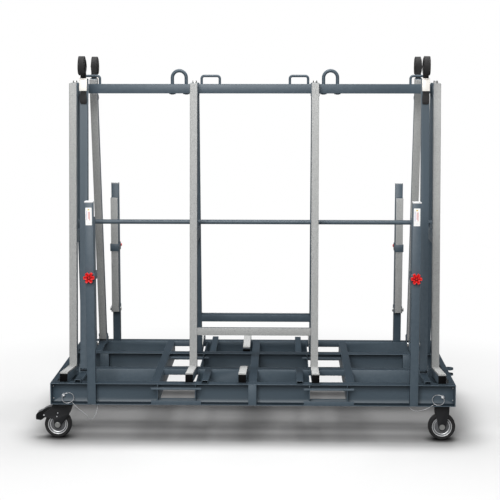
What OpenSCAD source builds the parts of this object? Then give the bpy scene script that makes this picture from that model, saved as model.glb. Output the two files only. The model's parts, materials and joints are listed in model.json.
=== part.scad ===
/* [Base] */
// Length of the base along X
base_l = 1850; // [1800:10:2000]
// Width of the base along Y
base_w = 1010; // [960:10:1100]
// Height of the folded rails
rail_h = 100; // [96:1:110]
// Depth of a rail's flanges
rail_d = 50; // [46:1:52]
// Sheet thickness of the rails
rail_t = 4; // [3:0.5:5]
// Height of the rails' underside above the floor
mount_h = 168.5; // [166:0.5:180]
// Width of the cross members
cross_w = 37.4; // [30:0.2:42]

/* [Fork pockets] */
// Distance of a pocket's near side from the middle
pocket_x0 = 262.5; // [250:0.5:275]
// Distance of a pocket's far side from the middle
pocket_x1 = 431; // [420:0.5:440]
// Height of a pocket's floor above the rail's underside
pocket_z = 22; // [18:1:26]
// Height of a pocket
pocket_h = 50; // [44:1:54]

/* [Leaning frame] */
// Lean of the legs from the vertical, in degrees
lean = 6; // [5:0.25:7]
// Width of the square tube of legs and feet
tube = 35; // [30:1:38]
// Wall of the square tubes
wall = 2.5; // [2:0.25:3]
// Thickness of the rubber pads
pad_t = 8; // [6:0.5:10]
// Distance of a leg's pad from the middle at the rails' top
leg_spread = 222; // [216:1:230]
// Distance of the inner pairs of legs from the middle
station_a = 288; // [284:1:300]
// Distance of the outer pairs of legs from the base's ends
leg_end = 63; // [59:1:68]
// Distance of the single feet from the middle, to the left
mid_foot_x = 46; // [40:1:60]
// Height of the beam's top above the floor
beam_top = 1617; // [1560:1:1660]
// Height of the beam
beam_h = 44; // [40:1:50]
// Depth of the beam
beam_d = 60; // [56:1:64]

/* [Posts and clamp bars] */
// Distance of the posts from the base's ends
post_end = 189.5; // [186:0.5:200]
// Width of the posts' square tube
post_w = 38; // [34:1:40]
// Height of the posts' top above the floor
post_top = 1103; // [1060:1:1160]
// Height of the clamp bars' lower end
clamp_z0 = 430; // [400:5:460]
// Height of the clamp bars' upper end
clamp_z1 = 1026; // [960:1:1040]
// Height of the star knobs
knob_z = 760; // [700:5:800]
// Height of the rear collars above the front ones
collar_rise = 8; // [0:1:20]
// Diameter of the star knobs
knob_d = 53; // [48:1:58]

/* [Press bars] */
// Distance of the press bars from the base's ends
press_end = 127; // [125:1:134]
// Width of a press bar
press_w = 36; // [32:1:38]
// Lean of the front press bars, in degrees
press_lean_f = 5.66; // [4:0.1:7]
// Lean of the rear press bars, in degrees
press_lean_r = 9.6; // [8:0.1:10]
// Distance of the front bars' outer side from the outer face
press_in_f = 203; // [190:1:210]
// Distance of the rear bars' outer side from the outer face
press_in_r = 75.5; // [70:0.5:90]
// Length of a press bar above the rails' top
press_l = 1378; // [1300:1:1400]
// Slope of the guide feet, in degrees
guide_lean = 3; // [2:0.25:4]

/* [Straps] */
// Width of the webbing
web_w = 27; // [20:1:27]
// Thickness of the webbing
web_t = 2.1; // [1.6:0.1:2.4]
// Loops in a rolled strap
coil_n = 12; // [8:1:14]
// Step from one loop to the next
coil_step = 2.95; // [2.8:0.05:3.1]

/* [Castors] */
// Diameter of the wheels
wheel_d = 125; // [100:1:128]
// Width of a wheel
wheel_w = 40; // [32:1:42]
// Distance of the castors' axes from the base's ends
castor_end = 55; // [53:1:61]
// Distance of the castors' axes from the outer face
castor_in = 64.5; // [64:0.5:70]
// Distance of the swivel wheels' axles from the swivel axis
trail = 30; // [24:1:34]

/* [Hidden] */

paint = [0.33, 0.38, 0.42];
rubber = [0.66, 0.66, 0.64];
zinc = [0.8, 0.8, 0.8];
black = [0.1, 0.1, 0.11];

$fn = 48;
hl = base_l / 2;
hw = base_w / 2;
z0 = mount_h;
z1 = mount_h + rail_h;
inside_z0 = z0 + rail_t;
inside_h = rail_h - 2 * rail_t;
leg_in = hw - leg_spread;
inner_rail_in = leg_in + 17;
station_b = hl - leg_end;
post_x = hl - post_end;
press_x = hl - press_end;
castor_x = hl - castor_end;
sides = [-1, 1];
stations = [-station_b, -station_a, station_a, station_b];

lug_r = 25;
lug_x = 24;
lug_t = 8;
tow_pin_r = 8.5;

// The leaning frame's own axes: y runs inwards from the pad's face and z runs up the leg
ref_z = z1 + 1.5;
// Distance from the outer face of a leg's line that is y inside the pad's face, at height z
function leg_line(y, z) = leg_in + (z - ref_z) * tan(lean) + y / cos(lean);
// Height above the foot pads' top of the reference point, along the leg
foot_top = 19.5;
foot_l = (leg_in - 3) / cos(lean);
leg_back = pad_t + tube;

saddle_w = 55;
saddle_t = 5.5;
saddle_z0 = beam_top - beam_h - 13;
saddle_z1 = beam_top + saddle_t;
saddle_bolt_r = 6;

hoop_x = 361.5;
hoop_half = 33.25;
hoop_r = 8.25;
hoop_top = beam_top + 71.5;
handle_r = 5.5;
handle_top = beam_top + 44;
// Middle and half span of each rod handle
handles = [[211, 43.5], [783, 40.5]];

tie_z0 = 865;
tie_z1 = 925;
tie_w = 30;
mid_rail_r = 11;
mid_rail_z = tie_z1 + 28;
crossbar_z = 451.5;

ear_t = 3;
pivot_z = clamp_z0 + 13;
pivot_in = post_w + 25;
pivot_r = 5;
clamp_in = post_w + 1;
clamp_pad_in = clamp_in + post_w;
collar_h = 38;
collar_t = 3;
collar_gap = 0.4;
collar_half = post_w / 2 + collar_gap;
collar_d = clamp_pad_in + pad_t + collar_gap;
boss_t = 6;
stud_r = 5;

guide_w = 30;
guide_h = 14;
guide_xs = [-press_x, -216.5, 216.5, press_x];
guide_drop = tan(guide_lean);
// Height of a guide foot's top where it would meet the outer face's plane
guide_top0 = z1 + 0.1 + rail_d * guide_drop + guide_h / cos(guide_lean);
hinge_up = 30;
shoe_gap = 0.3;
shoe_t = 3;
shoe_l = 52;
hinge_r = 5;
press_d = 35;
// Distance from the hinge down to the slider's underside
web_low = hinge_up * cos(guide_lean) - shoe_gap;
lip_h = 11;
// Distance from the outer face of a press bar's hinge, where its middle line meets the hinge height
function hinge_in(inset, tilt) =
    (inset + press_d / 2 / cos(tilt) + (guide_top0 + hinge_up - ref_z) * tan(tilt))
    / (1 + guide_drop * tan(tilt));
function hinge_z(inset, tilt) = guide_top0 + hinge_up - hinge_in(inset, tilt) * guide_drop;
bar_below = 14;
// Length of a bar above its hinge, alike on every bar
bar_above = press_l - hinge_up;

buckle_h = 62;
buckle_top = bar_above + 2;
buckle_low = buckle_top - buckle_h;
buckle_half = 14;
cheek_t = 1.6;
buckle_out = 16;
lever_z = buckle_top - 8;
lever_y = 10;
lever_r = 3;
lever_top = lever_z + 4.5;
strap_loop_h = 64;

coil_in_r = 9.5;
coil_out_r = coil_in_r + coil_n * coil_step;
coil_z = buckle_top + 51;
coil_seg = 18;
strap_gap = 0.4;

wheel_r = wheel_d / 2;
tyre_in = wheel_r - 17;
axle_r = 6;
bore_r = 6.08;
fork_gap = wheel_w / 2 + 4;
fork_t = 4;
cheek_r = 17;
plate_t = 5;
plate_z = z0 - plate_t;
head_z = plate_z - 13;
stem_r = 10;
socket_r = 14;
socket_h = 80;
pin_z = z0 + 36.5;
pin_r = 4;
pedal_x = -92;
pedal_z = 108;
pedal_pin_r = 3;

// Middle lines of the lanyards from a pin's ring to the rail's underside, from the castor's axis on the
// rail's outer face: the low one is at the front left
lanyard_r = 1.3;
low_route = [[41, 17, 176], [45, 6, 176.5], [50, -4, 175], [60, -7, 166], [72, -7, 154], [86, -6, 142],
    [100, -5, 131], [112, -4, 119], [121, -2, 106], [130, 3, 99], [140, 10, 102], [148, 17, 115],
    [154, 23, 135], [157, 27, 153], [158, 28, 168.4]];
high_route = [[41, 17, 176], [44, 6, 176.5], [48, -3, 176], [58, -5, 171], [72, -4, 163], [86, -2, 156],
    [102, 2, 150], [118, 8, 146], [134, 14, 147], [146, 20, 153], [154, 25, 161], [158, 28, 168.4]];

// Places children at the front and their mirror image at the rear
module front_and_rear() {
    children();
    mirror([0, 1, 0]) children();
}

// Places children on the left and their mirror image on the right
module left_and_right() {
    children();
    mirror([1, 0, 0]) children();
}

// Turns children made for the front left corner into another corner's
module corner(right, rear) {
    mirror([right, 0, 0]) mirror([0, rear, 0]) children();
}

// Stands children on the outer face, with y as the distance inwards
module from_face(x = 0) {
    translate([x, -hw, 0]) children();
}

// Gives children the leaning axes of a leg
module leg_axes(x = 0) {
    from_face(x) translate([0, leg_in, ref_z]) rotate([-lean, 0, 0]) children();
}

// Extrudes an outline drawn in y and z along X, centred
module along_x(length) {
    translate([-length / 2, 0, 0]) rotate([90, 0, 90]) linear_extrude(length) children();
}

// Box that is centred in X and starts at its low y and z
module xbox(w, y0, y1, za, zb) {
    translate([-w / 2, y0, za]) cube([w, y1 - y0, zb - za]);
}

module rod_x(r, length) {
    translate([-length / 2, 0, 0]) rotate([0, 90, 0]) cylinder(r = r, h = length);
}

module rod_y(r, y0, y1) {
    translate([0, y0, 0]) rotate([-90, 0, 0]) cylinder(r = r, h = y1 - y0);
}

module hex(across, height) {
    cylinder(d = across / cos(30), h = height, $fn = 6);
}

module channel_outline() {
    polygon([[0, 0], [rail_d, 0], [rail_d, rail_h], [0, rail_h], [0, rail_h - rail_t],
        [rail_d - rail_t, rail_h - rail_t], [rail_d - rail_t, rail_t], [0, rail_t]]);
}

module pocket_holes() {
    left_and_right()
        translate([pocket_x0, -hw - 20, z0 + pocket_z])
            cube([pocket_x1 - pocket_x0, base_w + 40, pocket_h]);
}

// Front and rear rails, open outwards, with their pockets, post notches and pin holes
module outer_rails() {
    color(paint) difference() {
        front_and_rear() from_face() translate([0, 0, z0]) along_x(base_l - 2 * rail_t) channel_outline();
        pocket_holes();
        front_and_rear() left_and_right() from_face(post_x)
            xbox(post_w, -1, post_w, z1 - rail_t - 1, z1 + 1);
        front_and_rear() left_and_right() from_face(castor_x) translate([0, 0, pin_z])
            rod_y(pin_r + 0.25, rail_d - 2 * rail_t, rail_d + 5);
    }
}

// Inner rails, open towards the middle, cut where the cross members pass
module inner_rails() {
    color(paint) difference() {
        front_and_rear() from_face() translate([0, inner_rail_in + rail_d, z0]) mirror([0, 1, 0])
            along_x(base_l - 2 * rail_t - 40) channel_outline();
        pocket_holes();
        cross_member_space();
    }
}

module cross_member_space() {
    xbox(cross_w, -hw, hw, z0 - 1, z1 + 1);
    left_and_right() translate([pocket_x1, -hw, z0 - 1]) cube([cross_w - 1, base_w, rail_h + 2]);
}

// End rails: a full plate at each end with short flanges turned inwards
module end_rails() {
    color(paint) left_and_right() {
        translate([hl - rail_t, -hw, z0]) cube([rail_t, base_w, rail_h]);
        for (z = [z0, z1 - rail_t]) {
            translate([hl - rail_t - 20, -hw + rail_d, z])
                cube([20, base_w - 2 * rail_d, rail_t]);
        }
    }
}

// Two flat lugs at the right end take a tow pin
module tow_lugs() {
    color(paint) for (z = [z0 + 32, z0 + 59.5]) {
        translate([hl, 0, z]) difference() {
            union() {
                translate([0, -lug_r, 0]) cube([lug_x, 2 * lug_r, lug_t]);
                translate([lug_x, 0, 0]) cylinder(r = lug_r, h = lug_t);
            }
            translate([-5, -lug_r, -1]) cube([5, 2 * lug_r, lug_t + 2]);
            translate([lug_x, 0, -1]) cylinder(r = tow_pin_r, h = lug_t + 2);
        }
    }
}

// Upright box section that stiffens a rail from inside
module stiffener(x, w, y0, y1) {
    translate([x, -hw, inside_z0]) difference() {
        translate([-w / 2, y0, 0]) cube([w, y1 - y0, inside_h]);
        translate([-w / 2 + rail_t, y0 + rail_t, -1])
            cube([w - 2 * rail_t, y1 - y0 - 2 * rail_t, inside_h + 2]);
    }
}

// Rectangular tube that runs front to rear between the outer rails' webs
module cross_tube(x, w) {
    length = base_w - 2 * rail_d;
    translate([x - w / 2, -length / 2, z0]) difference() {
        cube([w, length, rail_h]);
        translate([rail_t, -1, rail_t]) cube([w - 2 * rail_t, length + 2, rail_h - 2 * rail_t]);
    }
}

module cross_members() {
    inner_w = cross_w - 1;
    color(paint) {
        cross_tube(0, cross_w);
        left_and_right() cross_tube(pocket_x1 + inner_w / 2, inner_w);
        left_and_right() translate([pocket_x0 - rail_t, 0, z0 + 7]) {
            front_and_rear() translate([0, -hw + rail_d, 0])
                cube([rail_t, inner_rail_in - rail_d, rail_h - 16]);
            translate([0, -hw + inner_rail_in + rail_d, 0])
                cube([rail_t, base_w - 2 * (inner_rail_in + rail_d), rail_h - 16]);
        }
        front_and_rear() {
            stiffener(0, cross_w, 0, rail_d - rail_t);
            left_and_right() stiffener(post_x + 26.5, 44, inner_rail_in + rail_t, inner_rail_in + rail_d);
            left_and_right() castor_socket();
        }
    }
}

// Plate in the base's corner with a tube that takes the castor's stem and linch pin
module castor_socket() {
    x_in = castor_x - 55;
    x_out = hl - rail_t - 20;
    difference() {
        union() {
            translate([x_in, -hw + rail_d, z0]) cube([x_out - x_in, 62, rail_t]);
            from_face(castor_x) translate([0, castor_in, z0]) cylinder(r = socket_r, h = socket_h);
        }
        from_face(castor_x) translate([0, castor_in, z0 - 1]) cylinder(r = stem_r + 0.2, h = socket_h + 2);
        from_face(castor_x) translate([0, 0, pin_z]) rod_y(pin_r + 0.25, rail_d, castor_in + socket_r + 2);
    }
}

// Frame round each fork pocket: a bar above, a bar below and a cheek at each side
module pocket_frame(y_bar, y_cheek) {
    bar = rail_t;
    cheek_l = rail_d - 2 * rail_t;
    zc = inside_z0;
    from_face() {
        for (span = [[zc, z0 + pocket_z], [z0 + pocket_z + pocket_h, z0 + pocket_z + pocket_h + 10]]) {
            translate([pocket_x0 - 28, y_bar, span[0]])
                cube([pocket_x1 - pocket_x0 + 60, bar, span[1] - span[0]]);
        }
        for (x = [pocket_x0 - rail_t, pocket_x1 + 0.5]) {
            translate([x, y_cheek, zc]) cube([rail_t, cheek_l, inside_h]);
        }
    }
}

module pocket_frames() {
    y_in = inner_rail_in + rail_t;
    color(paint) difference() {
        front_and_rear() left_and_right() {
            pocket_frame(0, rail_t);
            pocket_frame(y_in + rail_d - 2 * rail_t, y_in);
        }
        cross_member_space_inside();
    }
}

module cross_member_space_inside() {
    left_and_right() translate([pocket_x1, -hw + rail_d, z0 - 1])
        cube([cross_w - 1, base_w - 2 * rail_d, rail_h + 2]);
}

// Hollow square tube in the leaning axes between two heights along the leg
module leg_tube(za, zb) {
    difference() {
        translate([-tube / 2, pad_t, za]) cube([tube, tube, zb - za]);
        translate([-tube / 2 + wall, pad_t + wall, za - 1])
            cube([tube - 2 * wall, tube - 2 * wall, zb - za + 2]);
    }
}

// Eight leaning legs, cut level on the inner rails and at the top
module frame_legs() {
    color(paint) front_and_rear() for (x = stations) {
        difference() {
            leg_axes(x) leg_tube(-20, beam_top - ref_z + 40);
            translate([x, 0, z1 - 200]) xbox(200, -hw, hw, 0, 200);
            translate([x, 0, saddle_z1]) xbox(200, -hw, hw, 0, 200);
        }
    }
}

// Foot tube that rises outwards square to its leg, with a wedge on the outer rail
module foot(x) {
    leg_axes(x) difference() {
        translate([-tube / 2, -foot_l, foot_top - pad_t - tube]) cube([tube, foot_l + pad_t, tube]);
        translate([-tube / 2 + wall, -foot_l - 1, foot_top - pad_t - tube + wall])
            cube([tube - 2 * wall, foot_l + pad_t + 2, tube - 2 * wall]);
    }
    from_face(x) difference() {
        xbox(tube, 6, rail_d - 2, z1, z1 + 12);
        translate([0, leg_in, ref_z]) rotate([-lean, 0, 0])
            xbox(tube + 2, -leg_in - 20, 0, foot_top - pad_t - tube, foot_top);
    }
}

module frame_feet() {
    color(paint) front_and_rear() {
        for (x = stations) {
            foot(x);
        }
        foot(-mid_foot_x);
    }
}

// Low flat tubes that fall inwards from the outer rails to the inner rails
module guide_feet() {
    color(paint) front_and_rear() for (x = guide_xs) {
        difference() {
            from_face(x) translate([0, 0, guide_top0]) rotate([-guide_lean, 0, 0]) difference() {
                xbox(guide_w, 2, inner_rail_in + 20, -guide_h, 0);
                xbox(guide_w - 4, 0, inner_rail_in + 22, -guide_h + 2, -2);
            }
            from_face(x) xbox(guide_w + 2, inner_rail_in, inner_rail_in + 40, z0, z1 + 40);
        }
    }
}

// Rubber on the legs, feet, lower crossbars and clamp bars
module fixed_pads() {
    color(rubber) front_and_rear() {
        for (x = stations) {
            difference() {
                leg_axes(x) xbox(tube, 0, pad_t, foot_top, beam_top - ref_z + 40);
                translate([x, 0, saddle_z1]) xbox(200, -hw, hw, 0, 200);
            }
        }
        for (x = concat(stations, [-mid_foot_x])) {
            leg_axes(x) xbox(tube, -foot_l, 0, foot_top - pad_t, foot_top);
        }
        leg_axes()
            xbox(2 * station_a - tube - 0.4, 0, pad_t, crossbar_up() - tube / 2, crossbar_up() + tube / 2);
        left_and_right() from_face(post_x)
            xbox(post_w - 2, clamp_pad_in, clamp_pad_in + pad_t, clamp_z0, clamp_z1);
    }
}

function crossbar_up() = (crossbar_z - ref_z) / cos(lean);

// Plastic caps of the feet, the beam and the posts
module end_caps() {
    color(black) {
        front_and_rear() {
            for (x = concat(stations, [-mid_foot_x])) {
                leg_axes(x) xbox(tube, -foot_l - 2, -foot_l, foot_top - pad_t - tube, foot_top - pad_t);
            }
            leg_axes(-mid_foot_x) xbox(tube, pad_t, pad_t + 2, foot_top - pad_t - tube, foot_top - pad_t);
            left_and_right() from_face(post_x) xbox(post_w, 0, post_w, post_top - 6, post_top);
        }
        left_and_right() translate([station_b + tube / 2, 0, 0]) {
            translate([0, -beam_d / 2, beam_top - beam_h]) cube([2, beam_d, beam_h]);
        }
    }
}

// Rectangular tube along the top, drilled for the saddle bolts and the hoops' ends
module top_beam() {
    length = 2 * station_b + tube;
    color(paint) difference() {
        xbox(length, -beam_d / 2, beam_d / 2, beam_top - beam_h, beam_top);
        xbox(length + 2, -beam_d / 2 + 3, beam_d / 2 - 3, beam_top - beam_h + 3, beam_top - 3);
        for (x = stations) {
            translate([x, 0, beam_top - beam_h - 1]) cylinder(r = saddle_bolt_r + 0.2, h = beam_h + 2);
        }
        left_and_right() for (side = sides) {
            translate([hoop_x + side * hoop_half, 0, beam_top - beam_h - 1])
                cylinder(r = hoop_r + 0.15, h = beam_h + 2);
        }
    }
}

// Folded plate over the beam whose flanges lie against the backs of two legs
module saddles() {
    function out(z) = hw - leg_line(leg_back, z);
    function inn(z) = out(z) - saddle_t / cos(lean);
    color(paint) for (x = stations) {
        translate([x, 0, 0]) difference() {
            along_x(saddle_w) polygon([[-out(saddle_z0), saddle_z0], [-out(saddle_z1), saddle_z1],
                [out(saddle_z1), saddle_z1], [out(saddle_z0), saddle_z0], [inn(saddle_z0), saddle_z0],
                [inn(beam_top), beam_top], [-inn(beam_top), beam_top], [-inn(saddle_z0), saddle_z0]]);
            translate([0, 0, beam_top - 1]) cylinder(r = saddle_bolt_r + 0.2, h = 20);
        }
    }
}

// Round rod bent into an upside-down U whose outer top is at height top
module bent_rod(half, r, bend, low, top) {
    up = top - r - bend;
    for (side = sides) {
        translate([side * half, 0, low]) cylinder(r = r, h = up - low);
        mirror([side < 0 ? 1 : 0, 0, 0]) translate([half - bend, 0, up]) rotate([90, 0, 0])
            rotate_extrude(angle = 90) translate([bend, 0]) circle(r = r);
    }
    translate([0, 0, top - r]) rod_x(r, 2 * (half - bend));
}

module lifting_rods() {
    color(paint) left_and_right() {
        translate([hoop_x, 0, 0]) bent_rod(hoop_half, hoop_r, 21, beam_top - beam_h - 18, hoop_top);
        for (h = handles) {
            translate([h[0], 0, 0]) bent_rod(h[1], handle_r, 15, beam_top, handle_top);
        }
    }
}

// Ties through the frame, the round middle rail on its rests and the lower crossbars
module cross_ties() {
    function out(z) = hw - leg_line(leg_back, z);
    color(paint) {
        for (x = stations) {
            translate([x, 0, 0]) {
                difference() {
                    along_x(tie_w) polygon([[-out(tie_z0), tie_z0], [-out(tie_z1), tie_z1],
                        [out(tie_z1), tie_z1], [out(tie_z0), tie_z0]]);
                    xbox(tie_w - 2 * wall, -hw, hw, tie_z0 + wall, tie_z1 - wall);
                }
                difference() {
                    xbox(tie_w, -14, 14, tie_z1, mid_rail_z);
                    translate([0, 0, mid_rail_z]) rod_x(mid_rail_r + 0.05, tie_w + 2);
                }
            }
        }
        translate([0, 0, mid_rail_z]) difference() {
            rod_x(mid_rail_r, 2 * station_b + tie_w);
            rod_x(mid_rail_r - wall, 2 * station_b + tie_w + 2);
        }
        front_and_rear() leg_axes() difference() {
            xbox(2 * station_a - tube, pad_t, leg_back, crossbar_up() - tube / 2, crossbar_up() + tube / 2);
            xbox(2 * station_a - tube + 2, pad_t + wall, leg_back - wall,
                crossbar_up() - tube / 2 + wall, crossbar_up() + tube / 2 - wall);
        }
    }
}

// Upright posts let into the outer rails, with two ears for the clamp bar's bolt
module posts() {
    color(paint) front_and_rear() left_and_right() from_face(post_x) difference() {
        union() {
            difference() {
                xbox(post_w, 0, post_w, inside_z0, post_top - 6);
                xbox(post_w - 6, 3, post_w - 3, inside_z0 - 1, post_top);
            }
            for (side = sides) {
                translate([side * (post_w + ear_t) / 2, 0, 0])
                    xbox(ear_t, 8, pivot_in + 9, pivot_z - 18, pivot_z + 18);
            }
        }
        translate([0, pivot_in, pivot_z]) rod_x(pivot_r + 0.1, post_w + 20);
    }
}

module clamp_bars() {
    color(paint) front_and_rear() left_and_right() from_face(post_x) difference() {
        xbox(post_w, clamp_in, clamp_pad_in, clamp_z0, clamp_z1);
        xbox(post_w - 2 * wall, clamp_in + wall, clamp_pad_in - wall, clamp_z0 - 1, clamp_z1 - 3);
        translate([0, pivot_in, pivot_z]) rod_x(pivot_r + 0.1, post_w + 20);
    }
}

// Saddle bolts with their nuts, the hoops' nuts, the clamp bars' bolts and the corner bolts
module bolts() {
    color(zinc) {
        for (x = stations) {
            translate([x, 0, saddle_z1]) {
                cylinder(r = 12, h = 2);
                translate([0, 0, 2]) hex(19, 9);
                translate([0, 0, -beam_h - saddle_t - 14]) cylinder(r = saddle_bolt_r, h = beam_h + saddle_t + 14);
                translate([0, 0, -beam_h - saddle_t - 10]) hex(19, 10);
            }
        }
        left_and_right() for (side = sides) {
            translate([hoop_x + side * hoop_half, 0, beam_top - beam_h - 14]) difference() {
                hex(27, 14);
                translate([0, 0, -1]) cylinder(r = hoop_r + 0.1, h = 16);
            }
        }
        front_and_rear() left_and_right() {
            from_face(post_x) translate([0, pivot_in, pivot_z]) {
                rod_x(pivot_r, post_w + 2 * ear_t + 2);
                for (side = sides) {
                    translate([side * (post_w / 2 + ear_t), 0, 0]) rotate([0, side * 90, 0]) hex(17, 7);
                }
            }
            for (z = [z0 + 19, z0 + 76]) {
                from_face(hl - rail_t - 3.7) translate([0, rail_d - rail_t, z]) rotate([90, 0, 0])
                    cylinder(r1 = 3.5, r2 = 2.6, h = 3);
            }
        }
    }
}

// Top plate, ball race and stem of a castor, with the hole for the linch pin
module castor_top() {
    from_face(-castor_x) translate([0, castor_in, 0]) difference() {
        union() {
            xbox(100, -43, 43, plate_z, z0);
            translate([0, 0, z0]) cylinder(r = stem_r, h = socket_h - 4);
        }
        translate([0, 0, pin_z]) rod_y(pin_r + 0.25, -20, 20);
    }
}

// Stud under a swivel castor's plate that carries the turning head
module swivel_stud() {
    from_face(-castor_x) translate([0, castor_in, 0]) {
        translate([0, 0, head_z - 8]) cylinder(r = 8, h = plate_z - head_z + 8);
        translate([0, 0, head_z - 8]) cylinder(r = 13, h = 7.5);
        difference() {
            translate([0, 0, plate_z - 2.5]) cylinder(r = 38, h = 2.5);
            translate([0, 0, plate_z - 3]) cylinder(r = 30, h = 2);
        }
    }
}

// Outline of a fixed castor's cheek in x and z, with the axle at x = 0
module fixed_cheek() {
    polygon([[-32, plate_z], [32, plate_z], [31, 124], [24, 96], [cheek_r, wheel_r], [-cheek_r, wheel_r],
        [-24, 96], [-31, 124]]);
    translate([0, wheel_r]) circle(r = cheek_r);
}

// Outline of a swivel castor's cheek, with the swivel axis at x = 0 and the wheel outwards
module swivel_cheek() {
    polygon([[-50, head_z + 10], [38, head_z + 10], [33, 140], [26, 118], [11, 91], [-trail + cheek_r, wheel_r],
        [-trail - cheek_r, wheel_r], [-trail - cheek_r, 90], [pedal_x + 6, pedal_z - 11],
        [pedal_x - 8, pedal_z], [pedal_x, pedal_z + 10], [-62, 140]]);
    translate([-trail, wheel_r]) circle(r = cheek_r);
}

// Both cheeks of a fork, from an outline in x and z
module cheeks() {
    for (y = [-fork_gap, fork_gap + fork_t]) {
        translate([0, y, 0]) rotate([90, 0, 0]) linear_extrude(fork_t) children();
    }
}

// Axle bolt with its head and nut outside the cheeks
module axle() {
    translate([0, 0, wheel_r]) {
        rod_y(axle_r, -fork_gap - fork_t, fork_gap + fork_t);
        translate([0, -fork_gap - fork_t, 0]) rotate([90, 0, 0]) cylinder(r = 13, h = 2);
        translate([0, -fork_gap - fork_t - 2, 0]) rotate([90, 0, 0]) hex(19, 8);
        translate([0, fork_gap + fork_t, 0]) rotate([-90, 0, 0]) hex(19, 9);
    }
}

// Castor tops at every corner, with whole fixed forks on the right
module castor_mounts() {
    color(black) front_and_rear() {
        castor_top();
        swivel_stud();
        mirror([1, 0, 0]) {
            castor_top();
            from_face(-castor_x) translate([0, castor_in, 0]) {
                cheeks() fixed_cheek();
                xbox(68, -fork_gap, fork_gap, plate_z - 4, plate_z);
                axle();
            }
        }
    }
}

// Turning head, cheeks and axle of a swivel castor
module swivel_fork(rear) {
    color(black) corner(0, rear) from_face(-castor_x) translate([0, castor_in, 0]) {
        difference() {
            union() {
                translate([0, 0, head_z]) cylinder(r = 37, h = plate_z - head_z - 2.8);
                cheeks() swivel_cheek();
            }
            translate([0, 0, head_z - 60]) cylinder(r = 8.1, h = 100);
            translate([0, 0, head_z - 60]) cylinder(r = 14, h = 60);
        }
        translate([-trail, 0, 0]) axle();
        translate([pedal_x, 0, pedal_z]) rod_y(pedal_pin_r, -fork_gap, fork_gap);
    }
}

// Foot pedal of the brake, hinged at the ends of the fork's cheeks
module brake_pedal(rear) {
    color(black) corner(0, rear) from_face(-castor_x) translate([0, castor_in, 0]) difference() {
        translate([0, fork_gap - 0.5, 0]) rotate([90, 0, 0]) linear_extrude(2 * fork_gap - 1) difference() {
            polygon([[-131, 86], [-131, 107], [-121, 120], [-101, 128], [-90, 137], [-73, 145], [-56, 148],
                [-53, 144], [-84, 104], [-89, 96], [-107, 83]]);
            translate([pedal_x, pedal_z]) circle(r = pedal_pin_r + 0.06);
        }
    }
}

// Tread ring and pressed rim as two solids
module wheel(right, rear) {
    x = right ? castor_x : castor_x + trail;
    half = wheel_w / 2;
    corner(right, rear) from_face(-x) translate([0, castor_in, wheel_r]) rotate([90, 0, 0]) {
        color(black) rotate_extrude($fn = 96) polygon([[tyre_in + 0.05, -half + 2], [wheel_r - 7, -half],
            [wheel_r - 2.5, -half + 3], [wheel_r, -half + 9], [wheel_r, half - 9],
            [wheel_r - 2.5, half - 3], [wheel_r - 7, half], [tyre_in + 0.05, half - 2]]);
        color(zinc) rotate_extrude($fn = 96) polygon([[bore_r, -fork_gap + 0.5], [14, -fork_gap + 0.5],
            [14, -8], [tyre_in - 12, -6], [tyre_in - 5, -half + 5], [tyre_in, -half + 5],
            [tyre_in, half - 5], [tyre_in - 5, half - 5], [tyre_in - 12, 6], [14, 8],
            [14, fork_gap - 0.5], [bore_r, fork_gap - 0.5]]);
    }
}

// Height of a collar's and its knob's middle
function grip_z(rear) = knob_z + (rear ? collar_rise : 0);

// Rectangular ring round a post and its clamp bar, with a threaded boss for the knob
module collar(right, rear) {
    color(paint) corner(right, rear) from_face(-post_x) translate([0, 0, grip_z(rear)]) difference() {
        union() {
            xbox(2 * collar_half + 2 * collar_t, -collar_gap - collar_t, collar_d + collar_t,
                -collar_h / 2, collar_h / 2);
            rod_y(11, -collar_gap - collar_t - boss_t, -collar_gap - 1);
        }
        xbox(2 * collar_half, -collar_gap, collar_d, -collar_h, collar_h);
        rod_y(stud_r + 0.06, -50, 10);
    }
}

// Six-lobed knob on a threaded stud that bears on the post
module star_knob(right, rear) {
    back = -collar_gap - collar_t - boss_t - 1;
    lobe = knob_d / 2 - 7;
    color("firebrick") corner(right, rear) from_face(-post_x) translate([0, 0, grip_z(rear)]) {
        rod_y(stud_r, back - 5, -0.15);
        rod_y(11, back - 6, back);
        rod_y(lobe - 2.5, back - 20.5, back - 5);
        for (i = [0:5]) {
            rotate([0, 60 * i, 0]) translate([lobe, 0, 0]) rod_y(7, back - 22, back - 6.5);
        }
    }
}

// Gives children the axes of a bar's hinge: y outwards is negative and z runs up the bar
module bar_axes(right, rear) {
    inset = rear ? press_in_r : press_in_f;
    tilt = rear ? press_lean_r : press_lean_f;
    corner(right, rear) from_face(-press_x)
        translate([0, hinge_in(inset, tilt), hinge_z(inset, tilt)]) rotate([-tilt, 0, 0]) children();
}

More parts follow.
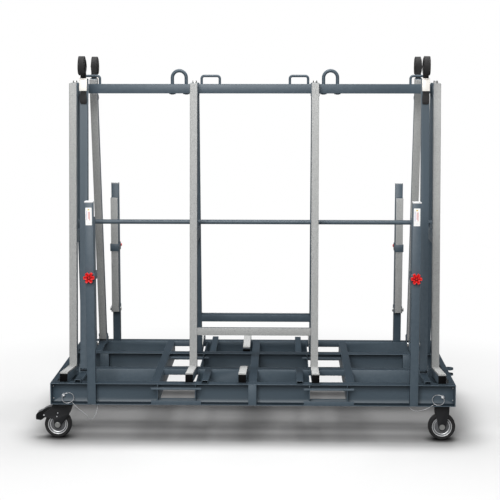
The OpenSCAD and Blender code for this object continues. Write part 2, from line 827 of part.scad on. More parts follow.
// Slider that straddles a guide foot and carries a press bar on its pin
module shoe(right, rear) {
    inset = rear ? press_in_r : press_in_f;
    tilt = rear ? press_lean_r : press_lean_f;
    half = press_w / 2 + shoe_gap;
    y0 = -shoe_l / 2;
    color(paint) corner(right, rear) from_face(-press_x)
        translate([0, hinge_in(inset, tilt), hinge_z(inset, tilt)]) rotate([-guide_lean, 0, 0]) {
            xbox(2 * half, y0, -y0, -web_low, -web_low + shoe_t);
            for (side = sides) {
                translate([side * (half + shoe_t / 2), 0, 0])
                    xbox(shoe_t, y0, -y0, -web_low - lip_h, -web_low + shoe_t);
                translate([side * (half + guide_w / 2 + shoe_gap) / 2, 0, 0])
                    xbox(half - guide_w / 2 - shoe_gap, y0, -y0, -web_low - lip_h, -web_low + shoe_t);
                translate([side * (half + shoe_t / 2), 0, 0]) rotate([90, 0, 90])
                    linear_extrude(shoe_t, center = true) {
                        polygon([[y0, -web_low], [-y0, -web_low], [11, 0], [-11, 0]]);
                        circle(r = 11);
                    }
                translate([side * (half + shoe_t), 0, 0]) rotate([0, side * 90, 0])
                    cylinder(r = 8, h = 2.5);
            }
            rod_x(hinge_r, 2 * half + 2 * shoe_t);
        }
}

// Square tube of a press bar with the frame of its strap buckle
module press_bar(right, rear) {
    color(paint) bar_axes(right, rear) {
        difference() {
            xbox(press_w, -press_d / 2, press_d / 2, -bar_below, bar_above);
            xbox(press_w - 2 * wall, -press_d / 2 + wall, press_d / 2 - wall, -bar_below - 1, bar_above - 3);
            rod_x(hinge_r + 0.07, press_w + 2);
        }
        translate([0, -press_d / 2, 0]) difference() {
            union() {
                xbox(2 * buckle_half, -cheek_t, 0, buckle_low + 3, bar_above);
                for (side = sides) {
                    translate([side * (buckle_half + cheek_t / 2), 0, 0])
                        xbox(cheek_t, -buckle_out + 3, 0, buckle_low + 3, lever_z + 4.2);
                }
            }
            translate([0, -lever_y, lever_z]) rod_x(lever_r + 0.06, 60);
        }
    }
}

module press_pad(right, rear) {
    color(rubber) bar_axes(right, rear)
        xbox(press_w, press_d / 2, press_d / 2 + pad_t, -bar_below, bar_above);
}

// Plate that covers the buckle, with two ears outside its frame and a pin through it
module buckle_lever(right, rear) {
    half = buckle_half + cheek_t + 0.3;
    color("ivory") bar_axes(right, rear) translate([0, -press_d / 2, 0]) {
        xbox(2 * half + 2 * cheek_t, -buckle_out - cheek_t, -buckle_out, buckle_low, lever_top);
        for (side = sides) {
            translate([side * (half + cheek_t / 2), 0, 0])
                xbox(cheek_t, -buckle_out - 1, -lever_y + 4.5, buckle_low + 8, lever_top);
        }
        translate([0, -lever_y, lever_z]) rod_x(lever_r, 2 * half + 2 * cheek_t);
        translate([0, -lever_y, lever_z - 6]) xbox(2 * buckle_half - 2, -4, -1, -6, 6);
    }
}

// Radius of the rolled strap's middle line after a turn of a degrees
function coil_r(a) = coil_in_r + coil_step * a / 360;
// Points of the strap's middle line in y and z about the roll's centre, then straight down
function coil_points() = concat(
    [for (i = [0:coil_seg * coil_n]) let (a = i * 360 / coil_seg) [coil_r(a) * cos(-a), coil_r(a) * sin(-a)]],
    [[coil_out_r, -20], [coil_out_r, buckle_low + 10 - coil_z]]);
// Outward normal at each point: radial on the roll and level on the straight run
function coil_normals() = concat(
    [for (i = [0:coil_seg * coil_n]) let (a = i * 360 / coil_seg) [cos(-a), sin(-a)]],
    [[1, 0], [1, 0]]);

// Gap that is left between neighbouring loops, measured at the middle of the flats
function coil_gap() = min([for (i = [coil_seg:coil_seg * coil_n - 1])
    let (p = coil_points(), q = (p[i] + p[i + 1]) / 2, s = (p[i - coil_seg] + p[i - coil_seg + 1]) / 2)
    norm(q - s) - web_t / cos(180 / coil_seg)]);

// Strip swept along the roll, four corners at each point
module strap_strip() {
    p = coil_points();
    n = coil_normals();
    count = len(p);
    half_t = web_t / 2;
    half_w = web_w / 2;
    corners = [for (i = [0:count - 1]) each [
        [-half_w, p[i][0] - n[i][0] * half_t, p[i][1] - n[i][1] * half_t],
        [half_w, p[i][0] - n[i][0] * half_t, p[i][1] - n[i][1] * half_t],
        [half_w, p[i][0] + n[i][0] * half_t, p[i][1] + n[i][1] * half_t],
        [-half_w, p[i][0] + n[i][0] * half_t, p[i][1] + n[i][1] * half_t]]];
    walls = [for (i = [0:count - 2]) for (k = [0:3])
        [4 * i + k, 4 * i + (k + 1) % 4, 4 * (i + 1) + (k + 1) % 4, 4 * (i + 1) + k]];
    last = 4 * (count - 1);
    polyhedron(points = corners, faces = concat([[3, 2, 1, 0]],
        walls, [[last, last + 1, last + 2, last + 3]]), convexity = 10);
}

// Rolled strap above the buckle and the stitched loop below it
module strap(right, rear) {
    out = -press_d / 2 - strap_gap - web_t / 2 - cheek_t;
    color(black) bar_axes(right, rear) {
        translate([0, out - coil_out_r, coil_z]) strap_strip();
        translate([0, -press_d / 2 - strap_gap, buckle_low - strap_loop_h + 4]) difference() {
            xbox(web_w, -8, 0, 0, strap_loop_h - 4);
            xbox(web_w + 2, -8 + web_t, -web_t, web_t, strap_loop_h);
        }
    }
}

// Pin across a castor's stem, with its head and the ring that lies against the rail
module linch_pin(right, rear) {
    ring_r = 27;
    ring_tilt = 44.5;
    face = rail_d - rail_t;
    color(zinc) corner(right, rear) from_face(-castor_x) translate([0, 0, pin_z]) {
        rod_y(pin_r, face - 8, castor_in + socket_r + 6);
        rod_y(7, face - 13, face - 0.5);
        translate([0, face - 9.5, 0]) rotate([-ring_tilt, 0, 0]) translate([21.6, 0, -16.2])
            rotate([90, 0, 0]) rotate_extrude() translate([ring_r, 0]) circle(r = 1.4, $fn = 16);
    }
}

// Point of a lanyard's smooth line at t steps along its route
function lanyard_at(route, t) = let (i = min(floor(t), len(route) - 2), f = t - i,
    a = route[max(i - 1, 0)], b = route[i], c = route[i + 1], d = route[min(i + 2, len(route) - 1)])
    0.5 * (2 * b + (c - a) * f + (2 * a - 5 * b + 4 * c - d) * f * f + (3 * b - a - 3 * c + d) * f * f * f);

// Tube of eight sides swept along a lanyard's route
module lanyard(route) {
    steps = 3 * (len(route) - 1);
    line = [for (i = [0:steps]) lanyard_at(route, i / 3) + [castor_end - hl, 0, 0]];
    rings = [for (i = [0:steps])
        let (t = line[min(i + 1, steps)] - line[max(i - 1, 0)], side = cross(t, [0, 1, 0]),
            u = side / norm(side), v = cross(u, t) / norm(t))
        for (k = [0:7]) line[i] + lanyard_r * (cos(45 * k) * u + sin(45 * k) * v)];
    walls = [for (i = [0:steps - 1]) for (k = [0:7])
        [8 * i + k, 8 * (i + 1) + k, 8 * (i + 1) + (k + 1) % 8, 8 * i + (k + 1) % 8]];
    polyhedron(points = rings, faces = concat([[for (k = [0:7]) k]], walls,
        [[for (k = [7:-1:0]) 8 * steps + k]]), convexity = 10);
}

module lanyards() {
    color(zinc) {
        corner(0, 0) from_face() lanyard(low_route);
        corner(1, 0) from_face() lanyard(high_route);
        corner(0, 1) from_face() lanyard(high_route);
        corner(1, 1) from_face() lanyard(high_route);
    }
}

echo(least_gap_in_rolled_strap = coil_gap());

outer_rails();
inner_rails();
end_rails();
tow_lugs();
cross_members();
pocket_frames();
frame_legs();
frame_feet();
guide_feet();
fixed_pads();
end_caps();
top_beam();
saddles();
lifting_rods();
cross_ties();
posts();
clamp_bars();
bolts();
castor_mounts();
lanyards();
swivel_fork(0);  // swivel_fork_fl
swivel_fork(1);  // swivel_fork_rl
brake_pedal(0);  // brake_pedal_fl
brake_pedal(1);  // brake_pedal_rl
wheel(0, 0);  // wheel_fl
wheel(1, 0);  // wheel_fr
wheel(0, 1);  // wheel_rl
wheel(1, 1);  // wheel_rr
collar(0, 0);  // collar_fl
collar(1, 0);  // collar_fr
collar(0, 1);  // collar_rl
collar(1, 1);  // collar_rr
star_knob(0, 0);  // star_knob_fl
star_knob(1, 0);  // star_knob_fr
star_knob(0, 1);  // star_knob_rl
star_knob(1, 1);  // star_knob_rr
shoe(0, 0);  // shoe_fl
shoe(1, 0);  // shoe_fr
shoe(0, 1);  // shoe_rl
shoe(1, 1);  // shoe_rr
press_bar(0, 0);  // press_bar_fl
press_bar(1, 0);  // press_bar_fr
press_bar(0, 1);  // press_bar_rl
press_bar(1, 1);  // press_bar_rr
press_pad(0, 0);  // press_pad_fl
press_pad(1, 0);  // press_pad_fr
press_pad(0, 1);  // press_pad_rl
press_pad(1, 1);  // press_pad_rr
strap(0, 0);  // strap_fl
strap(1, 0);  // strap_fr
strap(0, 1);  // strap_rl
strap(1, 1);  // strap_rr
buckle_lever(0, 0);  // buckle_lever_fl
buckle_lever(1, 0);  // buckle_lever_fr
buckle_lever(0, 1);  // buckle_lever_rl
buckle_lever(1, 1);  // buckle_lever_rr
linch_pin(0, 0);  // linch_pin_fl
linch_pin(1, 0);  // linch_pin_fr
linch_pin(0, 1);  // linch_pin_rl
linch_pin(1, 1);  // linch_pin_rr
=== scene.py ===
# Sheet goods cart: a powder-coated steel base on castors with a padded frame that sheets lean on
import bpy
import bmesh
import json
import random
from math import radians, sin, cos, pi, tau
from mathutils import Matrix, Vector


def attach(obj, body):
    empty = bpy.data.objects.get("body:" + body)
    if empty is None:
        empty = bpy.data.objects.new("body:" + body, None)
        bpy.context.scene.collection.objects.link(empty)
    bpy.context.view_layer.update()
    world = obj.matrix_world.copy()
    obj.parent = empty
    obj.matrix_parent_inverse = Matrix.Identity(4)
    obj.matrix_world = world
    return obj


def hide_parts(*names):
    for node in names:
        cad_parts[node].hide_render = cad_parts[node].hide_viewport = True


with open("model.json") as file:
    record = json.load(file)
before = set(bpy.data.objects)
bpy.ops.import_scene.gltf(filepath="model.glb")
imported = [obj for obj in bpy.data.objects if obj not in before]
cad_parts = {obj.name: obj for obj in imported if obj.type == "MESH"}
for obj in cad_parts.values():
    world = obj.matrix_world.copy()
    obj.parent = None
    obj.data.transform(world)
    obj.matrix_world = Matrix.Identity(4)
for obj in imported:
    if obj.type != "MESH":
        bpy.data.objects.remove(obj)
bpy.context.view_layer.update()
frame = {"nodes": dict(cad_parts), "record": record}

# Camera: the photograph is taken from in front, a little right of the middle and above the beam,
# with a long lens. The place and lens come from the base's corners, the posts and the beam.
camera_data = bpy.data.cameras.new("camera")
camera_data.lens = 99.21
camera_data.sensor_width = 36
camera_data.clip_end = 200
camera_drop, camera_turn = 7.923, 1.428
camera = bpy.data.objects.new("camera", camera_data)
camera.location = (0.1423, -6.6347, 1.7394)
camera.rotation_euler = (radians(90 - camera_drop), 0, radians(camera_turn))
bpy.context.collection.objects.link(camera)
bpy.context.scene.camera = camera
bpy.context.scene.view_settings.view_transform = "Standard"

# Studio: a dim even surround, a large soft light above and behind, one in front at chest height and
# a weak one at the right. The surround shows as plain white to the camera.
world = bpy.data.worlds.new("studio")
bpy.context.scene.world = world
world.use_nodes = True
nodes, links = world.node_tree.nodes, world.node_tree.links
background = nodes["Background"]
rays = nodes.new("ShaderNodeLightPath")
seen = nodes.new("ShaderNodeMath")
seen.operation = "MAXIMUM"
links.new(rays.outputs["Is Camera Ray"], seen.inputs[0])
links.new(rays.outputs["Is Transmission Ray"], seen.inputs[1])
strength = nodes.new("ShaderNodeMapRange")
strength.inputs["To Min"].default_value = 0.2
strength.inputs["To Max"].default_value = 1.0
links.new(seen.outputs[0], strength.inputs["Value"])
links.new(strength.outputs[0], background.inputs["Strength"])
background.inputs["Color"].default_value = (1, 1, 1, 1)
aim = Vector((0, 0, 0.7))
# Each light's place, size and power
softboxes = (((0.0, 0.6, 4.5), 3.2, 325),
             ((-0.8, -5.6, 3.4), 3.0, 335),
             ((3.8, -2.6, 2.6), 2.2, 25))
for place, size, power in softboxes:
    lamp_data = bpy.data.lights.new("softbox", "AREA")
    lamp_data.shape = "SQUARE"
    lamp_data.size = size
    lamp_data.energy = power
    lamp = bpy.data.objects.new("softbox", lamp_data)
    lamp.location = place
    lamp.rotation_euler = (aim - Vector(place)).to_track_quat("-Z", "Y").to_euler()
    bpy.context.collection.objects.link(lamp)

# Floor: a pale sheet with a painted shadow, greyer where the cart stands and dark round the wheels'
# contacts, that turns white towards the horizon. It throws little light back up at the cart.
bpy.ops.object.select_all(action="DESELECT")
bpy.ops.mesh.primitive_plane_add(size=120, location=(0, 0, -0.0005))
floor = bpy.context.object
floor.name = "studio_floor"
floor_paint = bpy.data.materials.new("floor_white")
floor_paint.use_nodes = True
nodes, links = floor_paint.node_tree.nodes, floor_paint.node_tree.links
nodes.remove(nodes["Principled BSDF"])
matt = nodes.new("ShaderNodeBsdfDiffuse")
glow = nodes.new("ShaderNodeEmission")
where = nodes.new("ShaderNodeTexCoord")


def vector_step(operation, source, value=(0, 0, 0)):
    """One step of vector arithmetic on a socket"""
    node = nodes.new("ShaderNodeVectorMath")
    node.operation = operation
    node.inputs[1].default_value = value
    links.new(source, node.inputs[0])
    return node.outputs[0]


def product(tree, first, second):
    """The product of two masks"""
    node = tree.nodes.new("ShaderNodeMath")
    node.operation = "MULTIPLY"
    tree.links.new(first, node.inputs[0])
    tree.links.new(second, node.inputs[1])
    return node.outputs[0]


def ramp_of(source, start, end, first, last):
    """A soft step of the length of a vector, from one value to another"""
    length = nodes.new("ShaderNodeVectorMath")
    length.operation = "LENGTH"
    links.new(source, length.inputs[0])
    step = nodes.new("ShaderNodeMapRange")
    step.interpolation_type = "SMOOTHSTEP"
    for label, value in (("From Min", start), ("From Max", end), ("To Min", first), ("To Max", last)):
        step.inputs[label].default_value = value
    links.new(length.outputs["Value"], step.inputs["Value"])
    return step.outputs[0]


turning_x, fixed_x = -0.900, 0.870
castor_y = 0.4405
# Painted shadow: from 0.2 grey under the cart to 0.54 beyond it, darker along its rails and at its wheels
cart_half_x, under_half_y, rail_y = 0.85, 0.36, 0.42
quarter = vector_step("ABSOLUTE", where.outputs["Object"])
off_cart = vector_step("MAXIMUM", vector_step("SUBTRACT", quarter, (cart_half_x, under_half_y, 0)))
near = ramp_of(off_cart, 0.0, 0.32, 0.2, 0.54)
off_rails = vector_step("MAXIMUM", vector_step("SUBTRACT", quarter, (cart_half_x, rail_y, 0)), (0, -10, 0))
near = product(floor_paint.node_tree, near, ramp_of(off_rails, 0.01, 0.1, 0.62, 1.0))
# Painted contact shadows, dark round each wheel's contact with the floor
for x in (turning_x, fixed_x):
    for y in (-castor_y, castor_y):
        off_contact = vector_step("SUBTRACT", where.outputs["Object"], (x, y, 0))
        off_wheel = vector_step("DIVIDE", off_contact, (1.0, 0.7, 1))
        near = product(floor_paint.node_tree, near, ramp_of(off_wheel, 0.02, 0.1, 0.12, 1.0))
far = ramp_of(where.outputs["Object"], 1.0, 2.4, 0.0, 1.0)
rays = nodes.new("ShaderNodeLightPath")
unseen_grey = 0.22
shown = nodes.new("ShaderNodeMix")
shown.data_type = "FLOAT"
links.new(rays.outputs["Is Camera Ray"], shown.inputs["Factor"])
shown.inputs[2].default_value = unseen_grey
links.new(near, shown.inputs[3])
links.new(shown.outputs[0], matt.inputs["Color"])
bounce = nodes.new("ShaderNodeMapRange")
bounce.inputs["To Min"].default_value = unseen_grey
bounce.inputs["To Max"].default_value = 1.0
links.new(rays.outputs["Is Camera Ray"], bounce.inputs["Value"])
links.new(bounce.outputs[0], glow.inputs["Strength"])
blend = nodes.new("ShaderNodeMixShader")
links.new(far, blend.inputs["Fac"])
links.new(matt.outputs[0], blend.inputs[1])
links.new(glow.outputs[0], blend.inputs[2])
links.new(blend.outputs[0], nodes["Material Output"].inputs["Surface"])
floor.data.materials.append(floor_paint)

# Painted steel frame: square tubes and folded channels, welded, then powder coated blue-grey.
# The coat has a fine orange-peel grain, rounds every edge a little and is thinner along it.
# Its faces that look up carry a painted shade, darker than its sides, and are less glossy.
def shader_group(name, ins, outs):
    """A node group with named number sockets, and its input and output nodes"""
    group = bpy.data.node_groups.new(name, "ShaderNodeTree")
    number = "NodeSocketFloat"
    for label, value in ins:
        group.interface.new_socket(label, in_out="INPUT", socket_type=number).default_value = value
    for label in outs:
        group.interface.new_socket(label, in_out="OUTPUT", socket_type=number)
    return group, group.nodes.new("NodeGroupInput"), group.nodes.new("NodeGroupOutput")


def noise_at(tree, scale, detail, source):
    """Noise on a coordinate socket, at a number or from a socket"""
    node = tree.nodes.new("ShaderNodeTexNoise")
    node.inputs["Detail"].default_value = detail
    tree.links.new(source, node.inputs["Vector"])
    if isinstance(scale, (int, float)):
        node.inputs["Scale"].default_value = scale
    else:
        tree.links.new(scale, node.inputs["Scale"])
    return node.outputs["Fac"]


grain, ins, outs = shader_group("fine_grain", [("Scale", 600)], ["Height", "Cloud"])
place = grain.nodes.new("ShaderNodeTexCoord")
grain.links.new(noise_at(grain, ins.outputs["Scale"], 2, place.outputs["Object"]), outs.inputs["Height"])
grain.links.new(noise_at(grain, 5.0, 4, place.outputs["Object"]), outs.inputs["Cloud"])

rub, ins, outs = shader_group("edge_rub", [("Amount", 0.5)], ["Mask"])
place = rub.nodes.new("ShaderNodeTexCoord")
edge = rub.nodes.new("ShaderNodeNewGeometry")
ramp = rub.nodes.new("ShaderNodeMapRange")
ramp.inputs["From Min"].default_value = 0.52
ramp.inputs["From Max"].default_value = 0.62
rub.links.new(edge.outputs["Pointiness"], ramp.inputs["Value"])
broken = product(rub, ramp.outputs[0], noise_at(rub, 60.0, 5, place.outputs["Object"]))
rub.links.new(product(rub, broken, ins.outputs["Amount"]), outs.inputs["Mask"])

dust, ins, outs = shader_group("settled_dust", [("Amount", 0.2)], ["Mask"])
place = dust.nodes.new("ShaderNodeTexCoord")
facing = dust.nodes.new("ShaderNodeNewGeometry")
split = dust.nodes.new("ShaderNodeSeparateXYZ")
dust.links.new(facing.outputs["Normal"], split.inputs[0])
flat = dust.nodes.new("ShaderNodeMapRange")
flat.inputs["From Min"].default_value = 0.6
dust.links.new(split.outputs["Z"], flat.inputs["Value"])
patchy = product(dust, flat.outputs[0], noise_at(dust, 14.0, 6, place.outputs["Object"]))
dust.links.new(product(dust, patchy, ins.outputs["Amount"]), outs.inputs["Mask"])


def linear(red, green, blue):
    """A colour written in 0 to 255 as the shader's own linear values"""
    return tuple((c / 255 / 12.92) if c <= 10 else ((c / 255 + 0.055) / 1.055) ** 2.4
                 for c in (red, green, blue)) + (1,)


def use(tree, group, **values):
    """Places a node group in a material with its own values"""
    node = tree.nodes.new("ShaderNodeGroup")
    node.node_tree = group
    for label, value in values.items():
        node.inputs[label].default_value = value
    return node


def mix_colours(tree, factor, first, second):
    """Mixes two colours, each a value or a socket, by a mask"""
    node = tree.nodes.new("ShaderNodeMix")
    node.data_type = "RGBA"
    tree.links.new(factor, node.inputs["Factor"])
    for value, socket in ((first, node.inputs[6]), (second, node.inputs[7])):
        if isinstance(value, tuple):
            socket.default_value = value
        else:
            tree.links.new(value, socket)
    return node.outputs[2]


dust_grey = (176, 174, 168)


def coated(name, colour, shade, rough, metallic=0.0, peel=(600, 0.00006), rubbed=None, dusty=0.0,
           gloss=0.5, painted_top_shade=None):
    """A finish that clouds between two shades, with a fine grain of a scale and a depth. It may have
    rubbed edges of a colour and an amount, settled dust, and a painted shade in another colour on faces
    that look up."""
    material = bpy.data.materials.new(name)
    material.use_nodes = True
    tree = material.node_tree
    skin = tree.nodes["Principled BSDF"]
    skin.inputs["Metallic"].default_value = metallic
    skin.inputs["Specular IOR Level"].default_value = gloss
    surface = use(tree, grain, Scale=peel[0])
    base = mix_colours(tree, surface.outputs["Cloud"], linear(*colour), linear(*shade))
    if rubbed:
        worn = use(tree, rub, Amount=rubbed[1]).outputs["Mask"]
        base = mix_colours(tree, worn, base, linear(*rubbed[0]))
    if dusty:
        settled = use(tree, dust, Amount=dusty).outputs["Mask"]
        base = mix_colours(tree, settled, base, linear(*dust_grey))
    # Painted shade: faces that look up get a darker colour, and less gloss
    if painted_top_shade:
        facing = tree.nodes.new("ShaderNodeSeparateXYZ")
        tree.links.new(tree.nodes.new("ShaderNodeNewGeometry").outputs["Normal"], facing.inputs[0])
        top_gloss = 0.06
        for socket, low, high in ((None, 0.0, 1.0), (skin.inputs["Specular IOR Level"], gloss, top_gloss)):
            upward = tree.nodes.new("ShaderNodeMapRange")
            for label, value in (("From Min", 0.5), ("From Max", 0.95), ("To Min", low), ("To Max", high)):
                upward.inputs[label].default_value = value
            tree.links.new(facing.outputs["Z"], upward.inputs["Value"])
            if socket:
                tree.links.new(upward.outputs[0], socket)
            else:
                base = mix_colours(tree, upward.outputs[0], base, linear(*painted_top_shade))
    tree.links.new(base, skin.inputs["Base Color"])
    spread = tree.nodes.new("ShaderNodeMapRange")
    spread.inputs["To Min"].default_value = rough - 0.06
    spread.inputs["To Max"].default_value = rough + 0.06
    tree.links.new(surface.outputs["Cloud"], spread.inputs["Value"])
    tree.links.new(spread.outputs[0], skin.inputs["Roughness"])
    bump = tree.nodes.new("ShaderNodeBump")
    bump.inputs["Distance"].default_value = peel[1]
    tree.links.new(surface.outputs["Height"], bump.inputs["Height"])
    tree.links.new(bump.outputs[0], skin.inputs["Normal"])
    return material


def select_only(piece):
    """Selects one object and makes it the active one"""
    bpy.ops.object.select_all(action="DESELECT")
    piece.select_set(True)
    bpy.context.view_layer.objects.active = piece


def dressed(node, name, material, radius=0.0, shortest=0.012):
    """A merged copy of a CAD node with its long sharp edges rounded, in its finish"""
    piece = frame["nodes"][node].copy()
    piece.data = piece.data.copy()
    piece.name = name
    bpy.context.collection.objects.link(piece)
    piece.parent = None
    piece.matrix_world = Matrix.Identity(4)
    piece.data.materials.clear()
    piece.data.materials.append(material)
    select_only(piece)
    bpy.ops.object.mode_set(mode="EDIT")
    bpy.ops.mesh.select_mode(type="EDGE")
    bpy.ops.mesh.select_all(action="SELECT")
    bpy.ops.mesh.remove_doubles(threshold=0.000005)
    bpy.ops.mesh.dissolve_limited(angle_limit=radians(0.5))
    if radius:
        bpy.ops.mesh.select_all(action="DESELECT")
        sheet = bmesh.from_edit_mesh(piece.data)
        for edge in sheet.edges:
            edge.select = (len(edge.link_faces) == 2 and edge.calc_length() > shortest
                           and edge.calc_face_angle(0) > radians(50))
        bmesh.update_edit_mesh(piece.data)
        bpy.ops.mesh.bevel(offset=radius, segments=2, affect="EDGES", clamp_overlap=False)
    bpy.ops.object.mode_set(mode="OBJECT")
    bpy.ops.object.shade_smooth_by_angle(angle=radians(35))
    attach(piece, body_of_node[node])
    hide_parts(node)
    return piece


bodies = frame["record"]["behaviour"]["bodies"]
body_of_node = {node: body for body, held in bodies.items() for node in held}
corners = {"fl": (-1, -1), "fr": (1, -1), "rl": (-1, 1), "rr": (1, 1)}

steel_blue = coated("powder_coat_blue_grey", (62, 76, 86), (58, 71, 81), 0.44,
                    rubbed=((120, 132, 142), 0.4), dusty=0.02, gloss=0.4, painted_top_shade=(42, 52, 60))
leg_stations = (-0.862, -0.288, 0.288, 0.862)
saddle_share = 0.74
for node in ("outer_rails", "inner_rails", "end_rails", "tow_lugs", "cross_members", "pocket_frames",
             "frame_legs", "frame_feet", "guide_feet", "top_beam", "saddles", "cross_ties", "posts",
             "clamp_bars"):
    painted = dressed(node, "painted_" + node, steel_blue, 0.0011)
    if node == "saddles":
        for vertex in painted.data.vertices:
            station = min(leg_stations, key=lambda x: abs(x - vertex.co.x))
            vertex.co.x = station + saddle_share * (vertex.co.x - station)


# Hoops and handles: round rods bent over a former, fixed to the top beam and painted with the
# frame. The cart is lifted by the two tall hoops and held by the four low handles.
def round_tube(name, line, radius, material, around=10):
    """A round tube along the line, with its length and girth in a UV map"""
    mesh = bpy.data.meshes.new(name)
    points, faces = [], []
    for i, p in enumerate(line):
        along_line = (line[min(i + 1, len(line) - 1)] - line[max(i - 1, 0)]).normalized()
        u = along_line.cross(Vector((0, 1, 0))).normalized()
        v = along_line.cross(u)
        points += [p + radius * (cos(tau * k / around) * u + sin(tau * k / around) * v)
                   for k in range(around)]
    for i in range(len(line) - 1):
        for k in range(around):
            m = (k + 1) % around
            faces.append((around * i + k, around * i + m, around * (i + 1) + m, around * (i + 1) + k))
    faces += [tuple(range(around))[::-1], tuple(range(around * (len(line) - 1), around * len(line)))]
    mesh.from_pydata(points, [], faces)
    uv = mesh.uv_layers.new(name="lay")
    run = [0.0]
    for a, b in zip(line, line[1:]):
        run.append(run[-1] + (b - a).length)
    for face in mesh.polygons:
        wraps = {mesh.loops[n].vertex_index % around for n in face.loop_indices} >= {0, around - 1}
        for n in face.loop_indices:
            v = mesh.loops[n].vertex_index
            k = v % around
            turn = around if wraps and k == 0 and len(face.vertices) == 4 else k
            uv.data[n].uv = (run[v // around], turn / around * tau * radius)
    piece = bpy.data.objects.new(name, mesh)
    bpy.context.collection.objects.link(piece)
    mesh.materials.append(material)
    select_only(piece)
    bpy.ops.object.mode_set(mode="EDIT")
    bpy.ops.mesh.select_all(action="SELECT")
    bpy.ops.mesh.normals_make_consistent(inside=False)
    bpy.ops.object.mode_set(mode="OBJECT")
    bpy.ops.object.shade_smooth_by_angle(angle=radians(50))
    return piece


def bent_rod(name, middle, half, low, top, bend, radius):
    """A rod bent into an arch over the top beam, from one foot to the other"""
    line = [Vector((middle - half, 0, low)), Vector((middle - half, 0, (low + top) / 2))]
    steps = 12
    for way in (-1, 1):
        for k in range(steps + 1):
            a = k / steps * pi / 2
            out, up = (cos(a), sin(a)) if way < 0 else (sin(a), cos(a))
            line.append(Vector((middle + way * (half - bend + bend * out), 0, top - bend + bend * up)))
    line += [Vector((middle + half, 0, (low + top) / 2)), Vector((middle + half, 0, low))]
    least = 0.0005
    line = [p for i, p in enumerate(line) if i == 0 or (p - line[i - 1]).length > least]
    rod = round_tube(name, line, radius, steel_blue, 24)
    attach(rod, body_of_node["lifting_rods"])
    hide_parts("lifting_rods")


# Each kind's distance from the cart's middle, half its span, the heights of its feet and its top,
# and the radius of its bends and of the rod
hoop_x = 0.3615
rod_kinds = (("lifting_hoop_", hoop_x, 0.03325, 1.567, 1.68025, 0.03325, 0.00825),
             ("inner_handle_", 0.211, 0.0435, 1.615, 1.6555, 0.013, 0.006),
             ("outer_handle_", 0.783, 0.0405, 1.615, 1.6555, 0.013, 0.006))
for side, word in ((-1, "left"), (1, "right")):
    for kind, middle, *sizes in rod_kinds:
        bent_rod(kind + word, side * middle, *sizes)

# Rubber pads: strips of bonded rubber crumb, light grey with darker and paler grains, glued to the
# legs, the feet, the lower crossbars, the clamp bars and the press bars.
crumb = bpy.data.materials.new("rubber_crumb_grey")
crumb.use_nodes = True
tree = crumb.node_tree
skin = tree.nodes["Principled BSDF"]
place = tree.nodes.new("ShaderNodeTexCoord")
cells = tree.nodes.new("ShaderNodeTexVoronoi")
cells.inputs["Scale"].default_value = 800
tree.links.new(place.outputs["Object"], cells.inputs["Vector"])
tone = tree.nodes.new("ShaderNodeSeparateColor")
tree.links.new(cells.outputs["Color"], tone.inputs[0])
grains = tree.nodes.new("ShaderNodeValToRGB")
grains.color_ramp.interpolation = "CONSTANT"
stops = grains.color_ramp.elements
stops[0].position, stops[0].color = 0.0, linear(120, 121, 120)
stops[1].position, stops[1].color = 0.08, linear(153, 154, 153)
for position, shade in ((0.45, (160, 161, 160)), (0.78, (148, 149, 148)), (0.94, (176, 176, 174))):
    stop = stops.new(position)
    stop.color = linear(*shade)
tree.links.new(tone.outputs["Red"], grains.inputs["Fac"])
tree.links.new(grains.outputs["Color"], skin.inputs["Base Color"])
skin.inputs["Roughness"].default_value = 0.86
bump = tree.nodes.new("ShaderNodeBump")
bump.inputs["Distance"].default_value = 0.0003
tree.links.new(cells.outputs["Distance"], bump.inputs["Height"])
tree.links.new(bump.outputs[0], skin.inputs["Normal"])
for node in ["fixed_pads"] + ["press_pad_" + c for c in corners]:
    pad = dressed(node, "rubber_" + node, crumb, 0.0015)

# Plastic caps: moulded plugs pressed into the open ends of the tubes, black in the feet and the
# beam and pale grey on the tops of the four posts
moulded_grain = (900, 0.00004)
cap_pale = coated("moulded_pale_grey", (205, 206, 206), (196, 197, 198), 0.5, peel=moulded_grain)
foot_black = coated("foot_cap_black", (7, 7, 8), (5, 5, 6), 0.6, peel=moulded_grain, gloss=0.05)


def repaint(piece, material, test):
    """Gives the faces whose middle passes the test another finish"""
    piece.data.materials.append(material)
    slot = len(piece.data.materials) - 1
    for face in piece.data.polygons:
        if test(face.center):
            face.material_index = slot


caps = dressed("end_caps", "moulded_end_caps", foot_black, 0.0004, 0.004)
post_caps_low, post_caps_high = 1.08, 1.2
repaint(caps, cap_pale, lambda p: post_caps_low < p.z < post_caps_high)

# Bolts and nuts: plated hexagon bolts, washers and nuts, with bright countersunk screws at the
# base's corners. The nuts under the hoops are flat and painted with the beam.
plated_grain = (1200, 0.00002)
zinc = coated("bright_zinc", (214, 216, 218), (184, 186, 190), 0.32, metallic=0.55, peel=plated_grain)
bolt_steel = coated("plated_bolt_steel", (160, 160, 157), (136, 137, 138), 0.36, metallic=0.6,
                    peel=plated_grain)
beam_underside = 1.573
hoop_nut_share = 0.3
base_screws_high = 0.3


def under_hoops(p):
    """Whether a place is in a nut under the foot of a lifting hoop"""
    return (abs(abs(p.x) - hoop_x) < 0.05 and abs(p.y) < 0.02
            and beam_underside - 0.023 < p.z < beam_underside + 0.0005)


fasteners = dressed("bolts", "plated_bolts", bolt_steel, 0.0009, 0.005)
for vertex in fasteners.data.vertices:
    if under_hoops(vertex.co):
        vertex.co.z = beam_underside + hoop_nut_share * (vertex.co.z - beam_underside)
repaint(fasteners, steel_blue, under_hoops)
repaint(fasteners, zinc, lambda p: p.z < base_screws_high)
